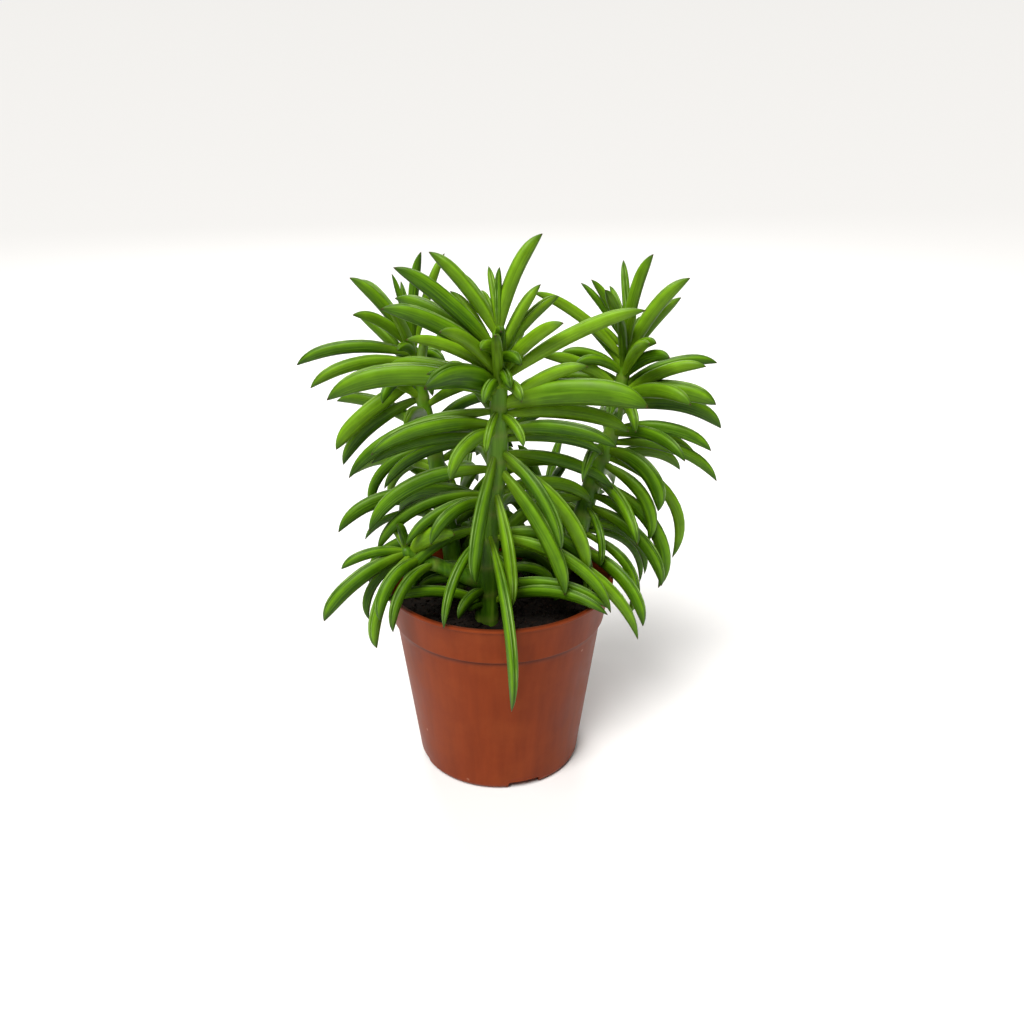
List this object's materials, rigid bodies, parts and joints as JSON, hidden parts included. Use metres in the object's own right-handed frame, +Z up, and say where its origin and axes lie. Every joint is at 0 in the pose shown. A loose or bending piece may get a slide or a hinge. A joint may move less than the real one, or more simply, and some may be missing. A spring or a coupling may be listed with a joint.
{
  "type": "potted peperomia",
  "caption": "Bushy peperomia with narrow folded pod-shaped leaves on thick green stems, in a round tapered terracotta-coloured plastic nursery pot.",
  "frame": {"origin": "centre of the pot's underside, on the surface that it stands on", "axes": "+Z up along the pot's axis; the pictured front faces -Y and +X is to its right"},
  "size_m": [0.188, 0.1442, 0.25],
  "materials": {
    "pot_plastic": "satin moulded plastic, terracotta brown",
    "potting_soil": "dark moist peat and bark",
    "leaf_green": "glossy green leaf skin, paler along the groove"
  },
  "bodies": {
    "root": {"pot": "pot_plastic", "soil": "potting_soil", "stem_front": "leaf_green", "stem_left": "leaf_green", "stem_right": "leaf_green", "stem_back_left": "leaf_green", "stem_back_right": "leaf_green"}
  },
  "joints": []
}
